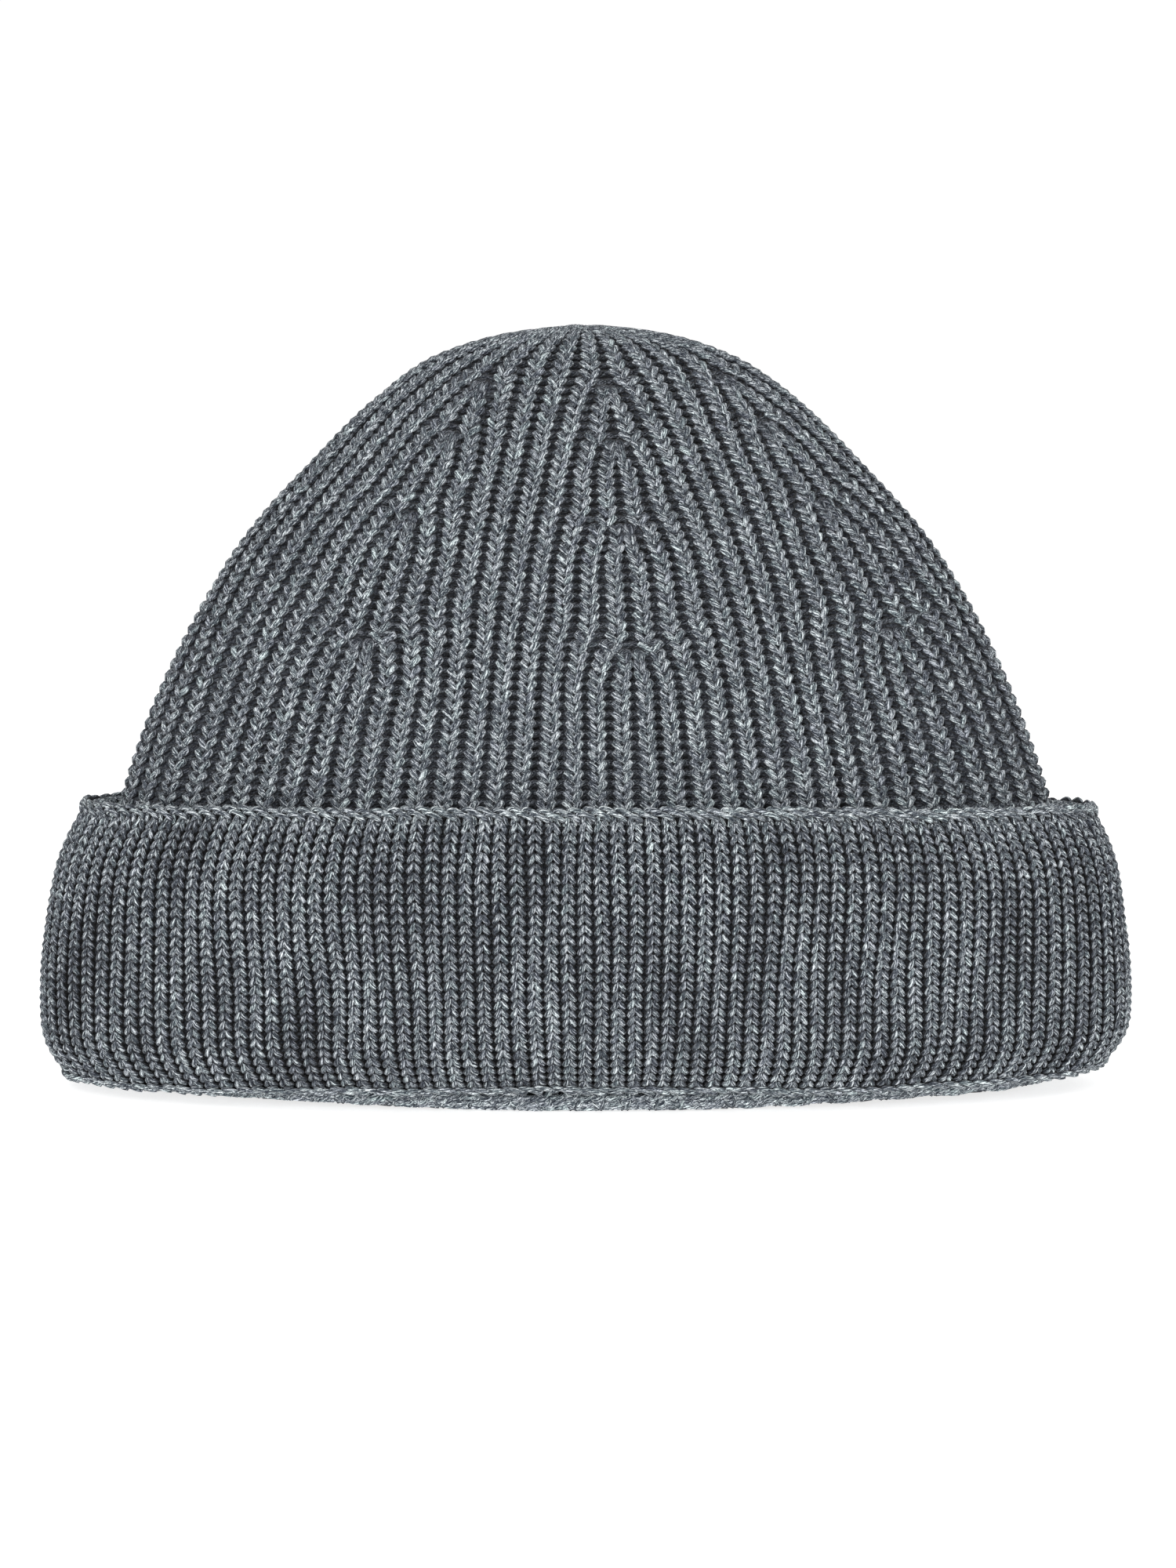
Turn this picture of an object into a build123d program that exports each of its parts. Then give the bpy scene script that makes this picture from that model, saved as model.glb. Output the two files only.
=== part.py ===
from build123d import *
import os

# Knit beanie with a turned-up double cuff, in millimetres.
# +Z is up, the front faces -Y, and the origin is the centre of the rim on the table plane.
# Every level cut through the hat is an ellipse, wide along X and shallow along Y,
# because the empty hat stands half flattened, as it does when it comes out of a pocket.

# Crown: a 1x1 rib tube with upright sides, closed by a dome that is the top of an ellipsoid.
CROWN_WIDTH = 98.8          # half-width of the upright sides
CROWN_DEPTH = 35.6          # half-depth of the upright sides
DOME_WIDTH = 109.7          # the ellipsoid's half-width
DOME_DEPTH = 39.5           # the ellipsoid's half-depth
DOME_HEIGHT = 179.7         # the ellipsoid's half-height
DOME_CENTRE_Z = -20.0
RIB_THICKNESS = 3.0         # relaxed rib fabric

# Rim: the fold at the bottom of the crown, which the hat stands on.
RIM_HEIGHT = 3.0
RIM_ROUNDING = 0.9

# Cuff: a flat tube of plain knit, folded up round the crown.
CUFF_WIDTH = 115.0          # half-width at the widest level
CUFF_DEPTH = 44.0           # half-depth at the same level
CUFF_WIDEST_Z = 20.0
CUFF_BULGE = 108.0          # half-height of the ellipsoid that bulges the outer layer
CUFF_BOTTOM = 2.5
CUFF_TOP = 59.0
OUTER_LAYER_THICKNESS = 2.6
INNER_LAYER_THICKNESS = 2.4
CUFF_CLEARANCE = 0.5        # between the crown and the cuff's inner layer

# Linking chains: the lines of stitches that close the cuff's two edges.
# Each one takes the place of an outer corner of the cuff.
CHAIN_HEIGHT = 2.4
CHAIN_THICKNESS = 2.0

# Seams and closing thread, all on the inside.
SEAM_WIDTH = 4.8
SEAM_HEIGHT = 2.0
SEAM_BOTTOM = 5.0
SEAM_TOP = 148.0
CUFF_SEAM_WIDTH = 6.0
THREAD_RADIUS = 0.8
THREAD_WIDTH = 12.0         # half-width of the closing ring
THREAD_DEPTH = 4.0          # half-depth of the closing ring
THREAD_Z = 154.6
KNOT_RADIUS = 2.2
KNOT_Z = 155.0

BLOCK = 400.0               # side of the blocks that trim a shape to a level


def ellipsoid(half_width, half_depth, half_height, centre_z):
    """A solid ellipsoid centred on the Z axis."""
    return Pos(0, 0, centre_z) * scale(Sphere(1), by=(half_width, half_depth, half_height))


def oval_post(half_width, half_depth, bottom, top):
    """An upright solid with an elliptical plan."""
    return Pos(0, 0, bottom) * extrude(Ellipse(half_width, half_depth), top - bottom)


def slab(bottom, top):
    """A level slab, wider than the hat."""
    return Pos(0, 0, (bottom + top) / 2) * Box(BLOCK, BLOCK, top - bottom)


def oval_tube(half_width, half_depth, level, radius):
    """A round bar bent into a level ellipse."""
    path = Pos(0, 0, level) * Ellipse(half_width, half_depth).edge()
    start = Plane(origin=path @ 0, z_dir=path % 0)
    return sweep(start * Circle(radius), path=path)


def dome(inset, bottom):
    """The solid inside the crown's surface, moved in by the inset."""
    cap = ellipsoid(DOME_WIDTH - inset, DOME_DEPTH - inset, DOME_HEIGHT - inset, DOME_CENTRE_Z)
    sides = oval_post(CROWN_WIDTH - inset, CROWN_DEPTH - inset, bottom, DOME_HEIGHT)
    return cap & sides


def cuff_bulge(inset):
    """The bulging solid inside the cuff's outer face, moved in by the inset."""
    return ellipsoid(CUFF_WIDTH - inset, CUFF_DEPTH - inset, CUFF_BULGE - inset, CUFF_WIDEST_Z)


def cuff_body(inset):
    """The bulging solid between the cuff's two edges, moved in by the inset on every side."""
    return cuff_bulge(inset) & slab(CUFF_BOTTOM + inset, CUFF_TOP - inset)


def make_crown_shell():
    return dome(0, RIM_HEIGHT) - dome(RIB_THICKNESS, RIM_HEIGHT - 1)


def make_rim_roll():
    inner_width = CROWN_WIDTH - RIB_THICKNESS
    inner_depth = CROWN_DEPTH - RIB_THICKNESS
    ring = oval_post(CROWN_WIDTH, CROWN_DEPTH, 0, RIM_HEIGHT)
    ring -= oval_post(inner_width, inner_depth, -1, RIM_HEIGHT + 1)
    bottom_edges = ring.faces().sort_by(Axis.Z)[0].edges()
    return fillet(bottom_edges, RIM_ROUNDING)


def make_crown_back_seam():
    ridge = dome(RIB_THICKNESS, SEAM_BOTTOM) - dome(RIB_THICKNESS + SEAM_HEIGHT, SEAM_BOTTOM - 1)
    strip_length = SEAM_TOP - SEAM_BOTTOM
    strip = Pos(0, DOME_DEPTH / 2, SEAM_BOTTOM + strip_length / 2)
    return ridge & strip * Box(SEAM_WIDTH, DOME_DEPTH, strip_length)


def make_closing_thread(shell):
    return oval_tube(THREAD_WIDTH, THREAD_DEPTH, THREAD_Z, THREAD_RADIUS) - shell


def make_closing_knot(shell):
    return Pos(0, 0, KNOT_Z) * Sphere(KNOT_RADIUS) - shell


def make_cuff_chain(bottom):
    band = cuff_bulge(0) & slab(bottom, bottom + CHAIN_HEIGHT)
    return band - cuff_bulge(CHAIN_THICKNESS)


def make_cuff_inner_layer():
    width = CROWN_WIDTH + CUFF_CLEARANCE
    depth = CROWN_DEPTH + CUFF_CLEARANCE
    layer = oval_post(width + INNER_LAYER_THICKNESS, depth + INNER_LAYER_THICKNESS, CUFF_BOTTOM, CUFF_TOP)
    return layer - oval_post(width, depth, CUFF_BOTTOM - 1, CUFF_TOP + 1)


def cuff_bore():
    """The space that the inner layer and the crown fill."""
    gap = CUFF_CLEARANCE + INNER_LAYER_THICKNESS
    return oval_post(CROWN_WIDTH + gap, CROWN_DEPTH + gap, CUFF_BOTTOM - 1, CUFF_TOP + 1)


def make_cuff_outer_layer(top_chain, bottom_chain):
    layer = cuff_body(0) - cuff_body(OUTER_LAYER_THICKNESS) - cuff_bore()
    return layer - top_chain - bottom_chain


def make_cuff_back_seam():
    hollow = cuff_body(OUTER_LAYER_THICKNESS) - cuff_bore()
    return hollow & Pos(0, CUFF_DEPTH, CUFF_WIDEST_Z) * Box(CUFF_SEAM_WIDTH, CUFF_DEPTH, BLOCK)


def main():
    os.makedirs("parts", exist_ok=True)
    crown_shell = make_crown_shell()
    top_chain = make_cuff_chain(CUFF_TOP - CHAIN_HEIGHT)
    bottom_chain = make_cuff_chain(CUFF_BOTTOM)
    parts = {
        "crown_shell": crown_shell,
        "rim_roll": make_rim_roll(),
        "crown_back_seam": make_crown_back_seam(),
        "closing_thread": make_closing_thread(crown_shell),
        "closing_knot": make_closing_knot(crown_shell),
        "cuff_outer_layer": make_cuff_outer_layer(top_chain, bottom_chain),
        "cuff_inner_layer": make_cuff_inner_layer(),
        "cuff_top_chain": top_chain,
        "cuff_bottom_chain": bottom_chain,
        "cuff_back_seam": make_cuff_back_seam(),
    }
    for name, shape in parts.items():
        export_step(shape, f"parts/{name}.step")


main()
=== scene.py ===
import math
import bpy
import numpy as np
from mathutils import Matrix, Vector


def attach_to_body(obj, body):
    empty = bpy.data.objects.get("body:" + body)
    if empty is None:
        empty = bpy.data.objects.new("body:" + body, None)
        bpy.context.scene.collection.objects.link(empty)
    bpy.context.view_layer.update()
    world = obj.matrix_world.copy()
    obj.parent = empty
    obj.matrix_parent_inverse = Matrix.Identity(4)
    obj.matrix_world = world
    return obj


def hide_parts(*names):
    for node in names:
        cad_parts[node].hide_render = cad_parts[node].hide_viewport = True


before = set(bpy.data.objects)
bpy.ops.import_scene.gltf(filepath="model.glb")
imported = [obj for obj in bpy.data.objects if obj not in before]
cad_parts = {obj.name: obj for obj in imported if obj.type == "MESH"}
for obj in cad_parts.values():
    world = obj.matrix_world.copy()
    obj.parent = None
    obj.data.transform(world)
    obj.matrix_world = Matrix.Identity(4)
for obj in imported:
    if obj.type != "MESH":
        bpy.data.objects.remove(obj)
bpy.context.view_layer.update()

# The hat in millimetres, in the CAD frame: +Z up, the front towards -Y, the rim at z = 0.
MM = 0.001
CROWN_HALF = (98.8, 35.6)        # half-width and half-depth of the crown's upright sides
CROWN_FOOT = 0.9                 # the lowest level of its profile
DOME_HALF = (109.7, 39.5)        # half-width and half-depth of the ellipsoid that closes the crown
DOME_HEIGHT = 179.7              # from the ellipsoid's centre to its top
DOME_CENTRE = -20.0
RIB_THICKNESS = 3.0
CUFF_HALF = (115.0, 44.0)        # half sizes of the cuff where it is widest
CUFF_WIDEST = 20.0               # the level of that place
CUFF_BULGE = 108.0               # half the height of the ellipse that the cuff's side follows
CUFF_BOTTOM = 2.5
CUFF_TOP = 59.0
CUFF_INSIDE = (99.5, 36.3)       # half sizes of the cuff's inside, clear of the crown
LOW_PULL = 4.0                   # how far the cuff's lower edge is drawn in
LOW_PULL_HEIGHT = 10.0           # over this much of its height
LOW_PULL_SHARES = (1.0, 0.9)     # the shares of it across and in depth
HIGH_PULL = 2.6                  # the same for its upper edge
HIGH_PULL_HEIGHT = 14.0
HIGH_PULL_SHARES = (1.0, 0.4)
SEAM_HEIGHT = 2.0
THREAD_HALF = (12.0, 4.0)        # half sizes of the ring of closing thread
THREAD_LEVEL = 154.6

# The yarn.
SIDES = 6                        # faces round a yarn
TWIST = 0.7                      # of the plies, in radians per millimetre
FIBRE_SHIFT = 37.0               # keeps the fibres of one yarn from repeating in the next
PIECE_TRIANGLES = 190000         # the most that one piece holds

# The crown's 1x1 rib.
RIB_YARN = 0.77                  # radius
RIB_SAMPLES = 12                 # points along one stitch
RIB_ROW = 1.98                   # height of one course
RIBS = 78                        # round the crown below the decreases
RIB_DEPTH = 0.95                 # from the fabric's middle to each face of the rib
RIB_LIFT = 0.48                  # how far a stitch's legs stand in front of its ends
RIB_TALL = 0.66                  # how far a stitch reaches above and below its course, in rows
RIB_LOOP = 0.20                  # how far a loop swells at its head and narrows below, in ribs
RIB_WIDER = 0.06                 # how far the knit stitches reach over the purl ones, in ribs
RIB_INSET = RIB_YARN + RIB_LIFT + RIB_DEPTH
TOP_THINNING = 14.0              # length below the top over which the rib gets thinner
TOP_THINNEST = 0.25              # the share of its thickness left at the top
RIM_LIFT = 1.5                   # how far the rim's two ends stand off the table
COURSE_RISE = 78                 # the courses rise by up to an eighth of this at the hat's two ends

# The cuff's plain knit, its lining and its linked edges.
CUFF_YARN = 0.65
CUFF_SAMPLES = 12
CUFF_ROW = 1.80
CUFF_STITCHES = 146
CUFF_LIFT = 0.50
CUFF_LOOP = 0.245                # how far a loop swells at its head and narrows below, in stitches
CUFF_CLOSER = 0.075              # how far its legs stand nearer to each other, in stitches
CUFF_TALL = 0.67                 # how far a stitch reaches above and below its course, in rows
LAST_TALL = 0.80                 # the same in the course below the top chain
CUFF_DARKER = 0.14               # lowers the relief of the cuff's face, and so deepens its painted shade
LINING_SIDES = 4
LINING_SAMPLES = 8
LINING_ROW = 2.1
LINING_LIGHTER = 1.0             # raises the relief of the lining, and so lightens its painted shade
SHADE_SHEET_INSET = 0.45                # from the surface of the cuff's courses in to the dark sheet of painted shade
UPRIGHT = 0.0075                 # turns by which the wales keep out towards the ends as the band narrows
CHAIN_YARN = 0.56


def smooth(x):
    """0 below 0, 1 above 1, and a soft step between."""
    x = np.clip(x, 0, 1)
    return x * x * (3 - 2 * x)


def waves(seed, count, most_turns):
    """A smooth random field over (turn, row), mostly within -1 to 1, which repeats round the hat. Its waves
    have at least 3 and fewer than most_turns periods a turn."""
    rng = np.random.default_rng(seed)
    turns = rng.integers(3, most_turns, count)
    climb = rng.uniform(-0.35, 0.35, count)
    phase = rng.uniform(0, 2 * math.pi, count)

    def field(turn, row):
        total = sum(np.sin(2 * math.pi * turns[i] * turn + climb[i] * row + phase[i]) for i in range(count))
        return total / math.sqrt(count / 2) / 1.6
    return field


class Surface:
    """A round surface with elliptical levels, addressed by the turn (0 to 1, 0 at the back) and by the
    length along its profile, measured up the middle of the front."""

    def __init__(self, wide, deep, z, spread=0.30):
        self.wide = wide
        self.deep = deep
        self.z = z
        steps = np.hypot(np.diff(z), np.diff(deep))
        self.length = np.concatenate([[0.0], np.cumsum(steps)])
        self.total = self.length[-1]
        self._spread_turns(wide[0], deep[0], spread)

    def _spread_turns(self, wide, deep, spread):
        """Fills the table from turn to angle: stitches are wider apart round the two ends."""
        angle = np.linspace(0, 2 * math.pi, 7201)
        middle = (angle[1:] + angle[:-1]) / 2
        arc = np.hypot(wide * np.cos(middle), deep * np.sin(middle))
        weight = arc / (1 + spread * np.sin(middle) ** 4)
        turn = np.concatenate([[0.0], np.cumsum(weight)])
        self.angle = angle
        self.turn = turn / turn[-1]

    def angle_at(self, turn):
        """The angle of the ellipse at these turns."""
        return np.interp(turn % 1, self.turn, self.angle)

    def place(self, turn, length):
        """Points and outward normals at these turns and lengths."""
        angle = self.angle_at(turn)
        sine = np.sin(angle)
        cosine = np.cos(angle)
        slope_step = 0.3
        wide, deep, z = self._profile(length)
        above = self._profile(length + slope_step)
        below = self._profile(length - slope_step)
        wide_up, deep_up, z_up = (high - low for high, low in zip(above, below))
        # turn 0 is at the back (+Y) and a quarter turn is at +X
        point = np.stack([wide * sine, deep * cosine, z], -1)
        along = np.stack([wide * cosine, -deep * sine, np.zeros_like(z)], -1)
        up = np.stack([wide_up * sine, deep_up * cosine, z_up], -1)
        normal = np.cross(up, along)
        normal /= np.linalg.norm(normal, axis=-1, keepdims=True) + 1e-12
        return point, normal

    def _profile(self, length):
        length = np.clip(length, 0, self.total)
        return [np.interp(length, self.length, values) for values in (self.wide, self.deep, self.z)]


def crown_surface(inset):
    """The crown's outer face, moved in by the inset; its levels crowd together towards the top."""
    top = DOME_HEIGHT - inset
    z = DOME_CENTRE + top - (DOME_CENTRE + top - CROWN_FOOT) * np.linspace(1, 0, 4001) ** 2
    share = np.sqrt(np.clip(1 - ((z - DOME_CENTRE) / top) ** 2, 0, 1))
    # fuller than the ellipsoid at the top, and a little slimmer just below
    fullness = 1 + 0.12 * np.clip((z - 140) / 20, 0, 1) ** 2 - 0.034 * np.exp(-((z - 131) / 13) ** 2)
    wide, deep = (np.minimum(half - inset, (dome - inset) * share * fullness)
                  for half, dome in zip(CROWN_HALF, DOME_HALF))
    lifted = z + 0.8 * np.clip(z / 160, 0, 1) ** 4
    return Surface(wide, deep, lifted, spread=0.25)


def cuff_surface(inset):
    """The whole band: up its bulging outer face, over the top edge, down the inside and back under."""
    z = np.linspace(CUFF_BOTTOM + inset, CUFF_TOP - inset, 801)
    bulge = np.sqrt(1 - ((z - CUFF_WIDEST) / CUFF_BULGE) ** 2)
    low_pull = LOW_PULL * np.clip(1 - (z - CUFF_BOTTOM - inset) / LOW_PULL_HEIGHT, 0, 1) ** 2
    high_pull = HIGH_PULL * np.clip(1 - (CUFF_TOP - inset - z) / HIGH_PULL_HEIGHT, 0, 1) ** 2
    half_turn = np.linspace(0, math.pi, 101)[1:-1]
    sizes = []
    for half, inside, low_share, high_share in zip(CUFF_HALF, CUFF_INSIDE, LOW_PULL_SHARES, HIGH_PULL_SHARES):
        outer = half * bulge - inset - low_pull * low_share - high_pull * high_share
        inner = np.full_like(z, inside + inset)
        over = (outer[-1] + inner[0]) / 2 + (outer[-1] - inner[0]) / 2 * np.cos(half_turn)
        under = (outer[0] + inner[0]) / 2 - (outer[0] - inner[0]) / 2 * np.cos(half_turn)
        sizes.append(np.concatenate([outer, over, inner, under]))
    rise_over = 0.5 * np.sin(half_turn)
    drop_under = 0.9 * np.sin(half_turn)
    return Surface(*sizes, np.concatenate([z, z[-1] + rise_over, z[::-1], z[0] - drop_under]))


class Yarns:
    """Collects round yarns and turns them into one mesh."""

    def __init__(self, sides=SIDES):
        self.sides = sides
        self.points = []
        self.faces = []
        self.fibre = []
        self.relief = []
        self.strips = []
        self.count = 0

    def add(self, path, normal, radius, depth, reach, both=False, closed=True, phase=0.0):
        """One yarn along a path (N x 3, mm). depth is how far the path lies outside the fabric's middle, and
        reach is where the relief comes to 1; the relief sets the painted shade of the yarn, darker where it
        lies deeper. Where both is set, the fabric has two faces, and each side of the yarn counts for the
        face it looks to, so the sides that look into the fabric are painted darker. phase turns the plies and
        shifts the fibres."""
        if closed:
            tangent = np.roll(path, -1, 0) - np.roll(path, 1, 0)
        else:
            tangent = np.gradient(path, axis=0)
        tangent /= np.linalg.norm(tangent, axis=1, keepdims=True) + 1e-12
        side = np.cross(tangent, normal)
        side /= np.linalg.norm(side, axis=1, keepdims=True) + 1e-12
        up = np.cross(side, tangent)
        radius = np.broadcast_to(radius, len(path))[:, None]
        angles = 2 * math.pi * np.arange(self.sides) / self.sides
        rings = (path[:, None] + radius[:, None]
                 * (np.cos(angles)[None, :, None] * up[:, None]
                    + np.sin(angles)[None, :, None] * side[:, None]))
        self.points.append(rings.reshape(-1, 3))
        self._add_fibre(path, radius, angles, phase)
        outward = np.sum(rings * normal[:, None], -1) - np.sum(path * normal, -1)[:, None]
        level = (outward + np.broadcast_to(depth, len(path))[:, None]) / reach
        # painted shade: the sides of the yarn that look into the fabric are darker, and all of it a little
        # darker
        if both:
            facing = np.clip(outward / radius + 0.5, -1, 1)
            darker = 0.06
            level = (level * facing - darker) / (1 - darker)
        self.relief.append(level.ravel())
        self._add_faces(len(path), closed)

    def _add_fibre(self, path, radius, angles, phase):
        """At each point, the length along the yarn and the place across its twisted plies."""
        steps = np.linalg.norm(np.diff(path, axis=0), axis=1)
        length = np.concatenate([[0.0], np.cumsum(steps)])[:, None]
        turn = angles[None] + TWIST * length + phase
        along = np.broadcast_to(length, turn.shape) + phase * FIBRE_SHIFT
        fibre = np.stack([along, radius * np.cos(turn), radius * np.sin(turn)], -1)
        self.fibre.append(fibre.reshape(-1, 3))

    def _add_faces(self, rings, closed):
        strip = rings if closed else rings - 1
        ring = np.arange(strip)[:, None] * self.sides
        next_ring = (np.arange(strip)[:, None] + 1) % rings * self.sides
        corner = np.arange(self.sides)
        next_corner = (corner + 1) % self.sides
        quads = np.stack([ring + corner, next_ring + corner, next_ring + next_corner, ring + next_corner], -1)
        self.faces.append(quads.reshape(-1, 4) + self.count)
        self.strips.append(strip)
        self.count += rings * self.sides

    def build(self, name, material):
        """The mesh of all the yarns so far, as a new object."""
        points = np.concatenate(self.points) * MM
        faces = np.concatenate(self.faces)
        mesh = bpy.data.meshes.new(name)
        mesh.vertices.add(len(points))
        mesh.vertices.foreach_set("co", points.astype(np.float32).ravel())
        mesh.loops.add(faces.size)
        mesh.loops.foreach_set("vertex_index", faces.astype(np.int32).ravel())
        mesh.polygons.add(len(faces))
        mesh.polygons.foreach_set("loop_start", np.arange(0, faces.size, 4, dtype=np.int32))
        mesh.polygons.foreach_set("use_smooth", np.ones(len(faces), dtype=bool))
        mesh.update(calc_edges=True)
        fibre = mesh.attributes.new("fibre", "FLOAT_VECTOR", "POINT")
        fibre.data.foreach_set("vector", np.concatenate(self.fibre).astype(np.float32).ravel())
        # the relief carries the painted shade of the stitches to the material
        relief = mesh.attributes.new("relief", "FLOAT", "POINT")
        relief.data.foreach_set("value", np.concatenate(self.relief).astype(np.float32))
        self._unwrap(mesh)
        return new_piece(name, mesh, material)

    def _unwrap(self, mesh, per_row=216):
        """A flat layout of the yarns: each yarn is cut into straight strips, stacked up the sheet."""
        rows = sum(math.ceil(strip / per_row) for strip in self.strips)
        side = np.arange(self.sides)
        layout = []
        first_row = 0
        for strip in self.strips:
            step = np.arange(strip)
            row = (first_row + step // per_row)[:, None]
            left = np.broadcast_to((step % per_row / per_row)[:, None], (strip, self.sides))
            right = left + 1 / per_row
            bottom = (row + 0.04 + 0.92 * side / self.sides) / rows
            top = (row + 0.04 + 0.92 * (side + 1) / self.sides) / rows
            corners = [(left, bottom), (right, bottom), (right, top), (left, top)]
            layout.append(np.stack([np.stack(corner, -1) for corner in corners], 2).reshape(-1, 2))
            first_row += math.ceil(strip / per_row)
        layer = mesh.uv_layers.new(name="OFBake")
        layer.data.foreach_set("uv", np.concatenate(layout).astype(np.float32).ravel())


def new_piece(name, mesh, material):
    """An object in the scene with this mesh and material."""
    mesh.materials.append(material)
    piece = bpy.data.objects.new(name, mesh)
    bpy.context.scene.collection.objects.link(piece)
    return piece


def plain_mesh(name, points, quads, material):
    """A smooth-shaded mesh from points in millimetres."""
    mesh = bpy.data.meshes.new(name)
    mesh.from_pydata((points * MM).tolist(), [], quads.tolist())
    mesh.polygons.foreach_set("use_smooth", np.ones(len(quads), dtype=bool))
    mesh.update()
    return new_piece(name, mesh, material)


def attach(piece, body):
    """Makes a piece move with a body."""
    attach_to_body(piece, body)


# --- materials ---

def new_material(name, roughness, specular):
    """A material and its shader."""
    material = bpy.data.materials.new(name)
    material.use_nodes = True
    shader = material.node_tree.nodes["Principled BSDF"]
    shader.inputs["Roughness"].default_value = roughness
    shader.inputs["Specular IOR Level"].default_value = specular
    return material, shader


def noise(tree, vector, scale, detail, rough=0.5):
    node = tree.nodes.new("ShaderNodeTexNoise")
    node.inputs["Scale"].default_value = scale
    node.inputs["Detail"].default_value = detail
    node.inputs["Roughness"].default_value = rough
    tree.links.new(vector, node.inputs["Vector"])
    return node.outputs["Fac"]


def ramp(tree, value, stops):
    """Turns a value into a colour, from stops of (position, colour)."""
    node = tree.nodes.new("ShaderNodeValToRGB")
    elements = node.color_ramp.elements
    while len(elements) < len(stops):
        elements.new(0.5)
    for element, (position, colour) in zip(elements, stops):
        element.position = position
        element.color = colour
    tree.links.new(value, node.inputs["Fac"])
    return node.outputs["Color"]


def attribute(tree, name):
    node = tree.nodes.new("ShaderNodeAttribute")
    node.attribute_name = name
    return node


def multiply(tree, first, second):
    """The product of two colours."""
    node = tree.nodes.new("ShaderNodeMix")
    node.data_type = "RGBA"
    node.blend_type = "MULTIPLY"
    node.inputs["Factor"].default_value = 1.0
    tree.links.new(first, node.inputs["A"])
    tree.links.new(second, node.inputs["B"])
    return node.outputs["Result"]


def knit_material(name, light, deep):
    """Melange yarn: dark, middle and pale fibres laid along the twisted plies, with painted shade and painted
    light from the relief: darker deep in the stitches, lighter on their raised tops. light scales its
    colours, and deep is how bright the painted shade leaves the yarn at the bottom of the stitches."""
    material, shader = new_material(name, 0.92, 0.15)
    shader.inputs["Sheen Weight"].default_value = 0.08
    shader.inputs["Sheen Roughness"].default_value = 0.6
    tree = material.node_tree
    fibre = attribute(tree, "fibre").outputs["Vector"]

    def stretched(along, across):
        node = tree.nodes.new("ShaderNodeMapping")
        node.inputs["Scale"].default_value = (along, across, across)
        tree.links.new(fibre, node.inputs["Vector"])
        return node.outputs["Vector"]

    def grey(*levels):
        """Red, green and blue levels as a screen shows them (0 to 255), in linear light."""
        return tuple(((level / 255 + 0.055) / 1.055) ** 2.4 * light for level in levels) + (1.0,)

    fibres = ramp(tree, noise(tree, stretched(0.6, 4.2), 1.0, 3.0, 0.65), [
        (0.36, grey(18, 24, 34)),
        (0.455, grey(70, 76, 84)),
        (0.535, grey(124, 132, 137)),
        (0.63, grey(242, 248, 250))])
    patches = ramp(tree, noise(tree, stretched(0.06, 0.35), 1.0, 2.0), [
        (0.32, (0.77, 0.77, 0.82, 1)),
        (0.5, (1, 1, 1, 1)),
        (0.68, (1.10, 1.17, 1.14, 1))])
    # painted shade in the hollows of the stitches and painted light on their raised tops, set by the relief
    middle = (2 * deep + 0.9) / 3
    painted_shade = ramp(tree, attribute(tree, "relief").outputs["Fac"], [
        (0.0, (deep, deep, deep * 1.2, 1)),
        (0.38, (middle, middle, middle * 1.1, 1)),
        (0.62, (0.90, 0.90, 0.92, 1)),
        (1.0, (1.20, 1.20, 1.20, 1))])
    colour = multiply(tree, multiply(tree, fibres, patches), painted_shade)
    tree.links.new(colour, shader.inputs["Base Color"])
    bump = tree.nodes.new("ShaderNodeBump")
    bump.inputs["Strength"].default_value = 0.8
    bump.inputs["Distance"].default_value = 0.25 * MM
    tree.links.new(noise(tree, stretched(0.5, 3.0), 1.0, 2.0), bump.inputs["Height"])
    tree.links.new(bump.outputs["Normal"], shader.inputs["Normal"])
    return material


def gap_shade_material(name, dark, pale):
    """A dark sheet behind the stitches, with fine dark and pale specks: painted shade for the gaps between
    them.
    """
    material, shader = new_material(name, 1.0, 0.05)
    tree = material.node_tree
    coordinates = tree.nodes.new("ShaderNodeTexCoord")
    specks = noise(tree, coordinates.outputs["Object"], 2200, 3)
    colour = ramp(tree, specks, [
        (0.4, (dark, 1.1 * dark, 1.4 * dark, 1)),
        (0.7, (pale, 1.1 * pale, 1.25 * pale, 1))])
    tree.links.new(colour, shader.inputs["Base Color"])
    return material


# --- the crown ---

GORE_LEVELS = (91.0, 115.3, 132.8, 144.4)     # levels at which each decrease line takes in two ribs
GORE_WIDTHS = (14, 13, 12, 12, 13, 14)        # ribs between the lines, from the one beside the back seam
FIRST_LINE = -2.0                             # its place, so that a line stands 2 ribs to +X of the front
CUFF_LEVEL = 58.0                             # length up the crown at which it comes out of the cuff


def decrease_rows(surface):
    """The rows of the decreases, which are not whole numbers."""
    return [np.interp(level, surface.z, surface.length) / RIB_ROW for level in GORE_LEVELS]


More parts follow.
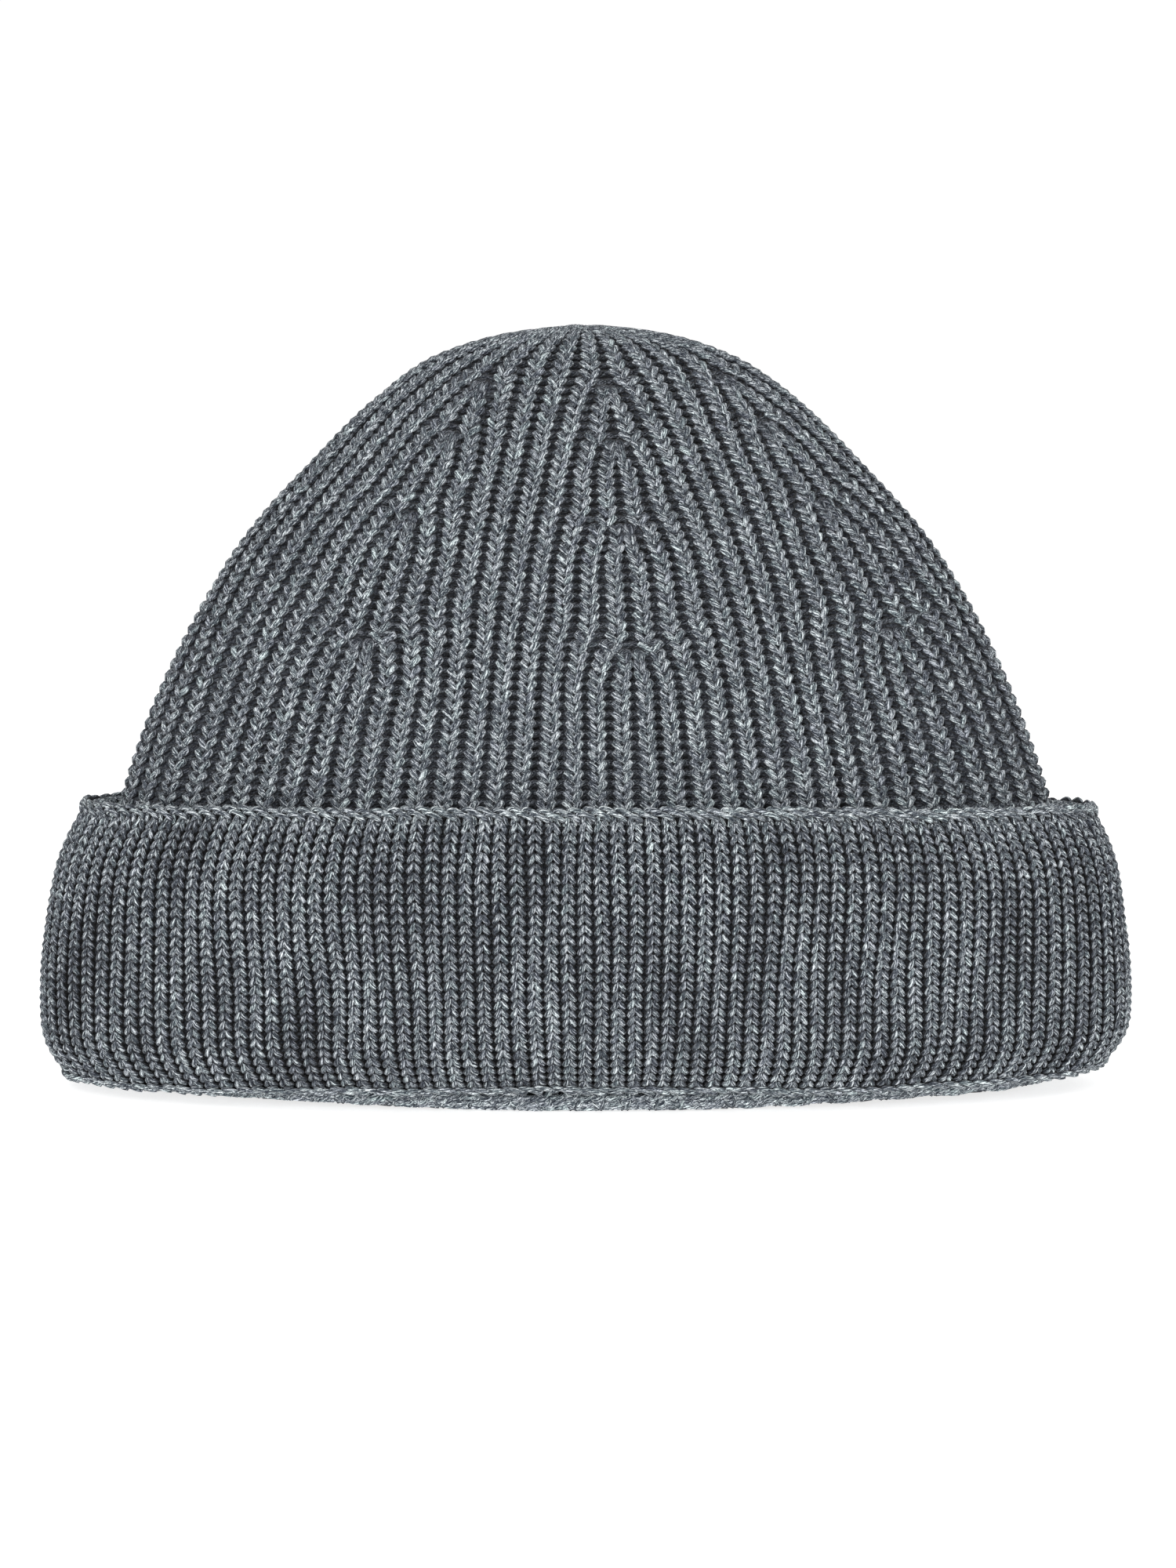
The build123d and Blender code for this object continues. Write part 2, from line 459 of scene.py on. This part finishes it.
def rib_places(row, decreases):
    """The ribs that a course holds, as places from 0 to RIBS round the hat, and how far each one has
    sunk under its neighbours, which the ribs beside a decrease line do where they end."""
    stage = sum(row >= decrease for decrease in decreases)
    places = []
    sunk = []
    start = FIRST_LINE
    for width in GORE_WIDTHS:
        count = width - 2 * stage
        index = np.arange(count) - (count - 1) / 2
        gap = np.full(count, width / count)
        inwards = (count - 1) / 2 - np.abs(index)
        sink = np.zeros(count)
        if stage:
            # after a decrease the ribs spread into the room it left, those beside the line first
            gap_before = width / (count + 2)
            opened = smooth((row - decreases[stage - 1] + 1.5) / (3.0 + 1.3 * inwards))
            gap = gap_before + (gap - gap_before) * opened
        if stage < len(decreases):
            # just before the next one they spread again, and the ribs beside the line sink under the others
            gap_after = width / (count - 2)
            gap = gap + (gap_after - gap) * 0.40 * smooth((row - decreases[stage] + 4) / 4)
            sink = 0.5 * smooth((row - decreases[stage] + 3.5) / 3.5) * (inwards < 0.5)
        places.extend(np.clip(index * gap, 0.3 - width / 2, width / 2 - 0.3) + start + width / 2)
        sunk.extend(sink)
        start += width
    return np.array(places), np.array(sunk)


def rim_rise(turn, z):
    """The hat's lowest courses lift off the table a little at its two ends."""
    return RIM_LIFT * np.sin(2 * math.pi * turn) ** 2 * np.clip(1 - z / 20, 0, 1)


def rib_face(ribs):
    """1 on the knit stitches that make the ribs, -1 on the purl stitches between them, which are narrower,
    with a steep step from one to the other."""
    return np.tanh(3.0 * (np.cos(2 * math.pi * ribs) + 0.30))


def rib_depth(surface, turn):
    """Half the thickness of the rib, which is pulled flatter round the hat's two ends."""
    return RIB_DEPTH * (1 - 0.15 * np.sin(surface.angle_at(turn)) ** 4)


def top_share(surface, length):
    """How much of its thickness the rib keeps here: all of it, except near the top."""
    return np.clip((surface.total - length) / TOP_THINNING, TOP_THINNEST, 1)


def dome_share(surface, length):
    """How far up the dome this length lies, from 0 at the cuff's edge to 1 at the top."""
    return np.clip((length - CUFF_LEVEL) / (surface.total - CUFF_LEVEL), 0, 1)


def course_rise(angle, share):
    """How much higher a course runs at this angle than at the front; share is how far up the dome it is."""
    return COURSE_RISE * (share * (1 - share)) ** 1.5 * np.sin(angle) ** 2


def crown_row(surface, turn, length):
    """The course that passes this length at these turns."""
    lengths = np.linspace(0, surface.total, 200)
    at_ends = lengths + course_rise(surface.angle_at(0.25), dome_share(surface, lengths))
    end_length = np.interp(length, at_ends, lengths)
    front_length = length + (end_length - length) * np.sin(surface.angle_at(turn)) ** 2
    return front_length / RIB_ROW - 0.5


def crown_course(surface, row, decreases, weave):
    """The path of one course of rib, its normals and how far it lies outside the fabric's middle."""
    ribs, sunk = rib_places(row, decreases)
    count = len(ribs)
    around = np.concatenate([ribs, [ribs[0] + RIBS]])
    middles = (around[1:] + around[:-1]) / 2
    stops = np.stack([ribs, middles], 1).ravel()
    stops = np.concatenate([[stops[-1] - RIBS], stops, [stops[0] + RIBS, stops[1] + RIBS]])
    # a rib is two stitches wide: a knit one and the purl one beside it
    stitch = np.arange(2 * count * RIB_SAMPLES) / RIB_SAMPLES
    swing = 2 * math.pi * stitch
    place = np.interp(stitch, np.arange(-1, 2 * count + 2), stops)
    gap = np.interp(stitch / 2, np.arange(count), np.diff(around), period=count)
    face = rib_face(stitch / 2) * (1 - np.interp(stitch / 2, np.arange(count), sunk, period=count))
    place = place + RIB_LOOP * gap * np.sin(2 * swing) + RIB_WIDER * gap * np.sin(swing / 2)
    turn = place / RIBS
    length = (row + 0.5) * RIB_ROW
    share = dome_share(surface, length)
    length = length + course_rise(surface.angle_at(turn), share)
    # no two stitches are quite alike: they differ in height, place and thickness
    jitter = weave["row"](turn, row)
    turn = turn + 0.07 / RIBS * weave["wale"](turn, row) * (1 - share)
    length = length + RIB_TALL * RIB_ROW * np.cos(swing) * (1 + 0.08 * jitter)
    depth = (rib_depth(surface, turn) - RIB_LIFT * np.cos(2 * swing)) * face
    point, normal = surface.place(turn, length)
    out = depth * top_share(surface, length) + 0.12 * weave["lift"](turn, row)
    point = point + normal * out[:, None]
    point[:, 2] += rim_rise(turn, point[:, 2])
    return point, normal, depth


def make_crown(material):
    """The rib, one closed yarn to a course, in as many pieces as the limit on triangles asks for."""
    surface = crown_surface(RIB_INSET)
    decreases = decrease_rows(surface)
    weave = {"row": waves(11, 6, 90), "wale": waves(12, 6, 25), "lift": waves(13, 6, 30)}
    rows = int(surface.total / RIB_ROW)
    pieces = []
    yarns = Yarns()
    used = 0
    for row in range(rows):
        path, normal, depth = crown_course(surface, row, decreases, weave)
        triangles = len(path) * SIDES * 2
        if used + triangles > PIECE_TRIANGLES:
            pieces.append(yarns.build("crown_rib_%d" % (len(pieces) + 1), material))
            yarns = Yarns()
            used = 0
        # a longer reach lowers the relief towards the top, which paints the top of the crown darker: painted
        # shade
        reach = (RIB_DEPTH + RIB_LIFT + RIB_YARN) * (1 + 0.25 * row / rows)
        yarns.add(path, normal, RIB_YARN, depth, reach, both=True, phase=row * 0.7)
        used += triangles
    pieces.append(yarns.build("crown_rib_%d" % (len(pieces) + 1), material))
    for piece in pieces:
        attach(piece, "crown")
    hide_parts("crown_shell")


def make_crown_shade_sheet(material):
    """A dark sheet in the middle of the rib, which closes its gaps: painted shade for what is seen through
    them.
    """
    surface = crown_surface(RIB_INSET)
    decreases = decrease_rows(surface)
    around = 576
    up = 72
    half_thickness = 0.22
    turn = np.arange(around) / around
    outer = []
    inner = []
    for length in np.linspace(0.0, surface.total - 0.15, up):
        point, normal = surface.place(turn, np.full(around, length))
        row = np.round(crown_row(surface, turn, length))
        ribs_passed = np.zeros(around)
        for course in np.unique(row):
            ribs, _ = rib_places(course, decreases)
            stops = np.concatenate([ribs - RIBS, ribs, ribs + RIBS])
            here = row == course
            ribs_passed[here] = np.interp(turn[here] * RIBS, stops, np.arange(len(stops)))
        point[:, 2] += rim_rise(turn, point[:, 2])
        # the sheet follows the ribs about half as deep, a little outside the fabric's middle
        thickness = rib_depth(surface, turn) * top_share(surface, length)
        middle = thickness * (0.15 + 0.55 * rib_face(ribs_passed))
        outer.append(point + normal * (middle + half_thickness)[:, None])
        inner.append(point + normal * (middle - half_thickness)[:, None])
    grid = np.arange(up * around).reshape(up, around)
    right = np.roll(grid, -1, 1)
    faces = np.stack([grid[:-1], right[:-1], right[1:], grid[1:]], -1).reshape(-1, 4)
    shift = up * around
    quads = np.concatenate([
        faces,
        (faces + shift)[:, ::-1],
        np.stack([grid[0], grid[0] + shift, right[0] + shift, right[0]], -1),
        np.stack([grid[-1], right[-1], right[-1] + shift, grid[-1] + shift], -1)])
    web = plain_mesh("crown_shade_sheet", np.array(outer + inner).reshape(-1, 3), quads, material)
    attach(web, "crown")


def make_rim(material):
    """The fold at the bottom of the crown: a few courses lying along the rim, seen edge on."""
    yarns = Yarns()
    weave = waves(41, 6, 50)
    stitches = 144
    samples = 8
    stitch = np.arange(stitches * samples) / samples
    swing = 2 * math.pi * stitch
    half_sizes = [half - RIB_DEPTH - 1.0 for half in CROWN_HALF]
    ring = Surface(*[np.full(2, half) for half in half_sizes], np.array([0.0, 10.0]))
    fold_level = 2.3
    fold_out = 1.15
    fold_down = 1.35
    courses = 6
    overlap = 0.45
    upwards = np.array([0, 0, 1.0])
    # the courses lie round the fold, from the outer face under the rim to the inner face
    for index, angle in enumerate(np.linspace(-overlap, math.pi + overlap, courses)):
        turn = (stitch + 0.12 * np.sin(swing + index * 1.3)) / stitches
        round_fold = angle + 0.10 * np.cos(swing + index * 2.1) + 0.05 * weave(turn, index)
        point, normal = ring.place(turn, np.full_like(turn, fold_level))
        out = fold_out * np.cos(round_fold)
        rise = -fold_down * np.sin(round_fold) + 0.22 * weave(turn, 9)
        path = point + normal * out[:, None] + upwards * rise[:, None]
        path[:, 2] += rim_rise(turn, path[:, 2])
        facing = normal * np.cos(round_fold)[:, None] - upwards * np.sin(round_fold)[:, None]
        yarns.add(path, facing, 0.80 + 0.05 * np.sin(2 * swing), 0.3, 1.1, phase=index * 1.1)
    rim = yarns.build("rim_knit", material)
    attach(rim, "crown")
    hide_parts("rim_roll")


# --- the cuff ---

EDGE_WAVES = waves(51, 6, 26)


def settle(point, turn):
    """Moves points of the band to where its soft edges lie: both are higher in the middles of the front and
    the back, and at the +X end the band is lower and wider above and higher below."""
    z = point[:, 2]
    middles = np.cos(2 * math.pi * turn) ** 2
    plus_x = np.clip(np.sin(2 * math.pi * turn), 0, 1) ** 6
    lower = np.clip(1 - z / 24, 0, 1)
    upper = np.clip((z - 36) / 24, 0, 1)
    uneven = 0.25 * EDGE_WAVES(turn, 0)
    low_rise = 2.9 * middles + 2.9 * plus_x + uneven - 0.3
    high_rise = 1.4 + middles - 0.8 * plus_x - uneven
    outwards = 1.6 * plus_x * upper
    return point + np.stack([outwards, np.zeros_like(z), low_rise * lower + high_rise * upper], -1)


def cuff_course(surface, length, samples, weave, tall):
    """One course of the cuff's plain knit, upside down because the cuff is turned up: its path, its normals
    and how far it lies outside the fabric's middle. tall is how far its stitches reach, in rows."""
    stitch = np.arange(CUFF_STITCHES * samples) / samples
    swing = 2 * math.pi * stitch
    turn = (stitch + CUFF_LOOP * np.sin(2 * swing) - CUFF_CLOSER * np.sin(swing)) / CUFF_STITCHES
    turn = turn + 0.08 / CUFF_STITCHES * weave["wale"](turn, length / CUFF_ROW)
    turn = turn + UPRIGHT * smooth((length - 18) / 36) * np.sin(4 * math.pi * turn)
    along = length + 0.15 * weave["row"](turn, length / CUFF_ROW) - tall * CUFF_ROW * np.cos(swing)
    depth = -CUFF_LIFT * np.cos(2 * swing) + 0.12 * weave["lift"](turn, length / CUFF_ROW)
    point, normal = surface.place(turn, along)
    return settle(point, turn) + normal * depth[:, None], normal, depth


def evenly(first, span, rows):
    """The lengths of evenly spaced courses."""
    return [first + span * row / (rows - 1) for row in range(rows)]


def lay_cuff(name, surface, weave, courses, samples, sides, lighter, material):
    """Courses of (length, tall), in as many pieces as the limit on triangles asks for. lighter is added to
    the depth that sets the relief, and so lightens the painted shade."""
    per_piece = PIECE_TRIANGLES // (CUFF_STITCHES * samples * sides * 2)
    pieces = []
    for start in range(0, len(courses), per_piece):
        yarns = Yarns(sides)
        for length, tall in courses[start:start + per_piece]:
            path, normal, depth = cuff_course(surface, length, samples, weave, tall)
            yarns.add(path, normal, CUFF_YARN, depth + lighter, CUFF_LIFT + CUFF_YARN, phase=length)
        pieces.append(yarns.build("%s_%d" % (name, len(pieces) + 1), material))
    for piece in pieces:
        attach(piece, "cuff")
    return pieces


def make_cuff(material):
    """The band's outer face, and its lining from the top edge down the inside and back under."""
    surface = cuff_surface(CUFF_YARN + CUFF_LIFT)
    weave = {"row": waves(21, 6, 90), "wale": waves(22, 6, 30), "lift": waves(23, 6, 40)}
    face = CUFF_TOP - CUFF_BOTTOM - 2 * (CUFF_YARN + CUFF_LIFT)
    knit_span = face - 2.8
    knit_rows = round(knit_span / CUFF_ROW)
    knit_tall = [CUFF_TALL] * (knit_rows - 1) + [LAST_TALL]
    knit = list(zip(evenly(1.7, knit_span, knit_rows), knit_tall))
    lining_span = surface.total - face - 1.0
    lining_rows = round(lining_span / LINING_ROW)
    lining = [(length, CUFF_TALL) for length in evenly(face + 0.6, lining_span, lining_rows)]
    outside = lay_cuff("cuff_knit", surface, weave, knit, CUFF_SAMPLES, SIDES, -CUFF_DARKER, material)
    inside = lay_cuff("cuff_lining", surface, weave, lining, LINING_SAMPLES, LINING_SIDES, LINING_LIGHTER,
                      material)
    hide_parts("cuff_outer_layer")
    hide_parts("cuff_inner_layer")


def make_cuff_shade_sheet(material):
    """A dark sheet behind the cuff's stitches, one closed skin all round the band: painted shade for the gaps
    between them.
    """
    surface = cuff_surface(CUFF_YARN + CUFF_LIFT + SHADE_SHEET_INSET)
    around = 360
    up = 130
    turn = np.arange(around) / around
    rings = []
    for length in np.arange(up) * surface.total / up:
        point, _ = surface.place(turn, np.full(around, length))
        rings.append(settle(point, turn))
    grid = np.arange(up * around).reshape(up, around)
    above = np.roll(grid, -1, 0)
    quads = np.stack([grid, np.roll(grid, -1, 1), np.roll(above, -1, 1), above], -1).reshape(-1, 4)
    core = plain_mesh("cuff_shade_sheet", np.array(rings).reshape(-1, 3), quads, material)
    attach(core, "cuff")


def make_chain(name, node, material, length, lift, seed):
    """A row of linked loops round one edge of the cuff: each long strand overlaps the next."""
    surface = cuff_surface(CHAIN_YARN)
    weave = waves(seed, 6, 60)
    stitch = np.arange(CUFF_STITCHES * CUFF_SAMPLES) / CUFF_SAMPLES
    swing = 2 * math.pi * stitch
    strand_gap = 0.75
    yarns = Yarns()
    # both strands rise and come forward once a stitch, the upper one half a stitch further round
    for strand, shift in enumerate((0.0, 0.5)):
        turn = (stitch + shift + 0.30 * np.sin(swing)) / CUFF_STITCHES
        up = (strand - 0.5) * strand_gap + 0.62 * np.sin(swing + 0.6) + 0.12 * weave(turn, strand)
        depth = 0.48 * np.cos(swing) + 0.15 * weave(turn, 3 + strand)
        point, normal = surface.place(turn, length + up)
        path = settle(point, turn) + np.array([0, 0, lift]) + normal * depth[:, None]
        yarns.add(path, normal, CHAIN_YARN, depth + 0.3, 0.50 + CHAIN_YARN, phase=strand * 2.0)
    chain = yarns.build(name, material)
    attach(chain, "cuff")
    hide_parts(node)


# --- seams and closing thread ---

def make_seam(name, material, surface, low, high, body, node):
    """A linked seam up the middle of the back: two rolled edges and a chain of stitches between them."""
    sample_length = 0.3
    stitch_length = 2.6
    edge_distance = 1.35
    length = np.linspace(low, high, int((high - low) / sample_length))
    swing = 2 * math.pi * (length - low) / stitch_length
    yarns = Yarns()
    for side in (-1, 0, 1):
        point, normal = surface.place(np.zeros_like(length), length)
        point[:, 0] += edge_distance * side + 0.32 * np.sin(swing + 2.1 * side)
        depth = 0.28 * np.cos(swing + 1.3 * side) - 0.25 * (1 - abs(side))
        # the yarn is rounded off over the last 0.6 mm at each end
        ends = np.sqrt(np.clip(np.minimum(length - low, high - length) / 0.6, 0.0, 1.0))
        yarns.add(point + normal * depth[:, None], normal, 0.04 + 0.66 * ends, 0.5 + depth, 1.2,
                  closed=False, phase=side * 2.0)
    seam = yarns.build(name, material)
    attach(seam, body)
    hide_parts(node)


def make_crown_seam(material):
    """The crown's seam, on its inside, from a little above the rim to a little below the closing thread."""
    inside = crown_surface(RIB_THICKNESS + SEAM_HEIGHT / 2)
    low, high = np.interp((6.0, 147.0), inside.z, inside.length)
    make_seam("crown_seam_stitches", material, inside, low, high, "crown", "crown_back_seam")


def make_cuff_seam(material):
    """The band's seam, on an upright surface midway between its two layers."""
    bottom = 5.5
    height = 50.0
    depth = CUFF_INSIDE[1] + 3.7
    between = Surface(np.full(2, 100.0), np.full(2, depth), np.array([bottom, bottom + height]))
    make_seam("cuff_seam_stitches", material, between, 0.0, height, "cuff", "cuff_back_seam")


def make_closing(material):
    """The thread that gathers the last course, and its knot, under the top of the crown."""
    turn = np.linspace(0, 2 * math.pi, 121)[:-1]
    ply_offset = 0.36
    thread = Yarns()
    for ply in (0, math.pi):
        twist = 14 * turn + ply
        out = ply_offset * np.cos(twist)
        up = ply_offset * np.sin(twist) + 0.3 * np.sin(5 * turn)
        path = np.stack([(THREAD_HALF[0] + out) * np.cos(turn), (THREAD_HALF[1] + out) * np.sin(turn),
                         THREAD_LEVEL + up], -1)
        thread.add(path, np.tile([0.0, 0.0, 1.0], (len(path), 1)), 0.42, 0.6, 1.0, phase=ply)
    ring = thread.build("closing_thread_plies", material)
    knot = Yarns()
    loops = np.stack([np.sin(turn) + 2 * np.sin(2 * turn), np.cos(turn) - 2 * np.cos(2 * turn),
                      -1.3 * np.sin(3 * turn)], -1) * 0.52
    knot.add(loops + np.array([0, 0, THREAD_LEVEL + 0.2]), loops + 0.01, 0.62, 0.6, 1.0)
    tied = knot.build("closing_knot_loops", material)
    for piece, node in ((ring, "closing_thread"), (tied, "closing_knot")):
        attach(piece, "crown")
        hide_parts(node)


# --- the room ---

def make_floor():
    """Pale paper that glows, so that it looks as white as the background."""
    bpy.ops.mesh.primitive_plane_add(size=6, location=(0, 0, 0))
    floor = bpy.context.object
    floor.name = "floor"
    paper = bpy.data.materials.new("paper")
    paper.use_nodes = True
    shader = paper.node_tree.nodes["Principled BSDF"]
    shader.inputs["Base Color"].default_value = (0.50, 0.50, 0.50, 1)
    shader.inputs["Roughness"].default_value = 0.9
    shader.inputs["Emission Color"].default_value = (1, 1, 1, 1)
    shader.inputs["Emission Strength"].default_value = 0.75
    floor.data.materials.append(paper)
    return floor


def make_world():
    """White all round and dimmer overhead."""
    world = bpy.data.worlds.new("studio")
    bpy.context.scene.world = world
    world.use_nodes = True
    tree = world.node_tree
    background = tree.nodes["Background"]
    background.inputs["Strength"].default_value = 1.02
    direction = tree.nodes.new("ShaderNodeTexCoord")
    height = tree.nodes.new("ShaderNodeSeparateXYZ")
    tree.links.new(direction.outputs["Generated"], height.inputs["Vector"])
    ceiling = ramp(tree, height.outputs["Z"], [
        (0.25, (1, 1, 1, 1)),
        (1.0, (0.35, 0.35, 0.35, 1))])
    tree.links.new(ceiling, background.inputs["Color"])


def make_light(name, place, size, power):
    """A square lamp aimed at the middle of the hat."""
    data = bpy.data.lights.new(name, "AREA")
    data.size = size
    data.energy = power
    lamp = bpy.data.objects.new(name, data)
    lamp.location = place
    lamp.rotation_euler = (Vector((0, 0, 0.08)) - Vector(place)).to_track_quat("-Z", "Y").to_euler()
    bpy.context.scene.collection.objects.link(lamp)
    return lamp


def make_camera():
    """The camera, level with the upper part of the hat and looking a little down at it."""
    camera_data = bpy.data.cameras.new("camera")
    camera_data.lens = 71.17
    camera = bpy.data.objects.new("camera", camera_data)
    camera.location = (0.0005, -0.650, 0.107)
    aim = Vector((0.0005, 0, 0.06365))
    camera.rotation_euler = (aim - camera.location).to_track_quat("-Z", "Y").to_euler()
    bpy.context.scene.collection.objects.link(camera)
    bpy.context.scene.camera = camera


rib_yarn = knit_material("rib_yarn", 0.77, 0.02)
cuff_yarn = knit_material("cuff_yarn", 0.78, 0.01)
# the rim's yarn is drawn lighter and with less painted shade than the rest: painted light for the rim in the
# shade under the cuff
painted_light_edge_yarn = knit_material("painted_light_edge_yarn", 1.0, 0.60)
chain_yarn = knit_material("chain_yarn", 0.73, 0.06)
make_crown(rib_yarn)
# a dark sheet of painted shade in the middle of the rib
make_crown_shade_sheet(gap_shade_material("crown_gap_shade", 0.026, 0.10))
make_rim(painted_light_edge_yarn)
make_cuff(cuff_yarn)
# a dark sheet of painted shade behind the cuff's stitches
make_cuff_shade_sheet(gap_shade_material("cuff_gap_shade", 0.010, 0.06))
top_edge = CUFF_TOP - CUFF_BOTTOM - 2 * CHAIN_YARN
make_chain("cuff_top_links", "cuff_top_chain", chain_yarn, top_edge, 0.9, 31)
make_chain("cuff_bottom_links", "cuff_bottom_chain", chain_yarn, 0.2, -0.2, 32)
make_crown_seam(rib_yarn)
make_cuff_seam(cuff_yarn)
make_closing(rib_yarn)

bpy.context.scene.view_settings.view_transform = "Standard"
floor = make_floor()
make_world()
key = make_light("key", (-0.25, -1.3, 0.55), 0.8, 10.0)
fill = make_light("fill", (0.9, -0.8, 0.7), 0.9, 2.0)
make_camera()
